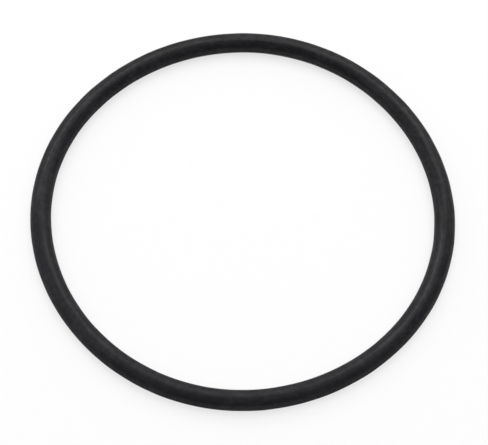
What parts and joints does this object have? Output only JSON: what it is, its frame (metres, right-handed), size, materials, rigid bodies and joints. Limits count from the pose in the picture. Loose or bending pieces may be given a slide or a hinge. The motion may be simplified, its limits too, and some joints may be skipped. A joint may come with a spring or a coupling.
{
  "type": "rubber o-ring",
  "caption": "Black rubber o-ring: a moulded ring of round section that is squeezed in a groove to seal a shaft, cap or cover.",
  "frame": {"origin": "centre of the ring, on its axis and in the plane that halves its round section", "axes": "+Z along the ring's axis, up as it lies flat on a bench; the ring is the same all round, so +X and +Y are any two directions across it, with +X to the right and +Y away from the viewer in the picture"},
  "size_m": [0.0734, 0.0734, 0.0036],
  "materials": {
    "rubber": "moulded, satin black"
  },
  "bodies": {
    "root": {"o_ring": "rubber"}
  },
  "joints": []
}
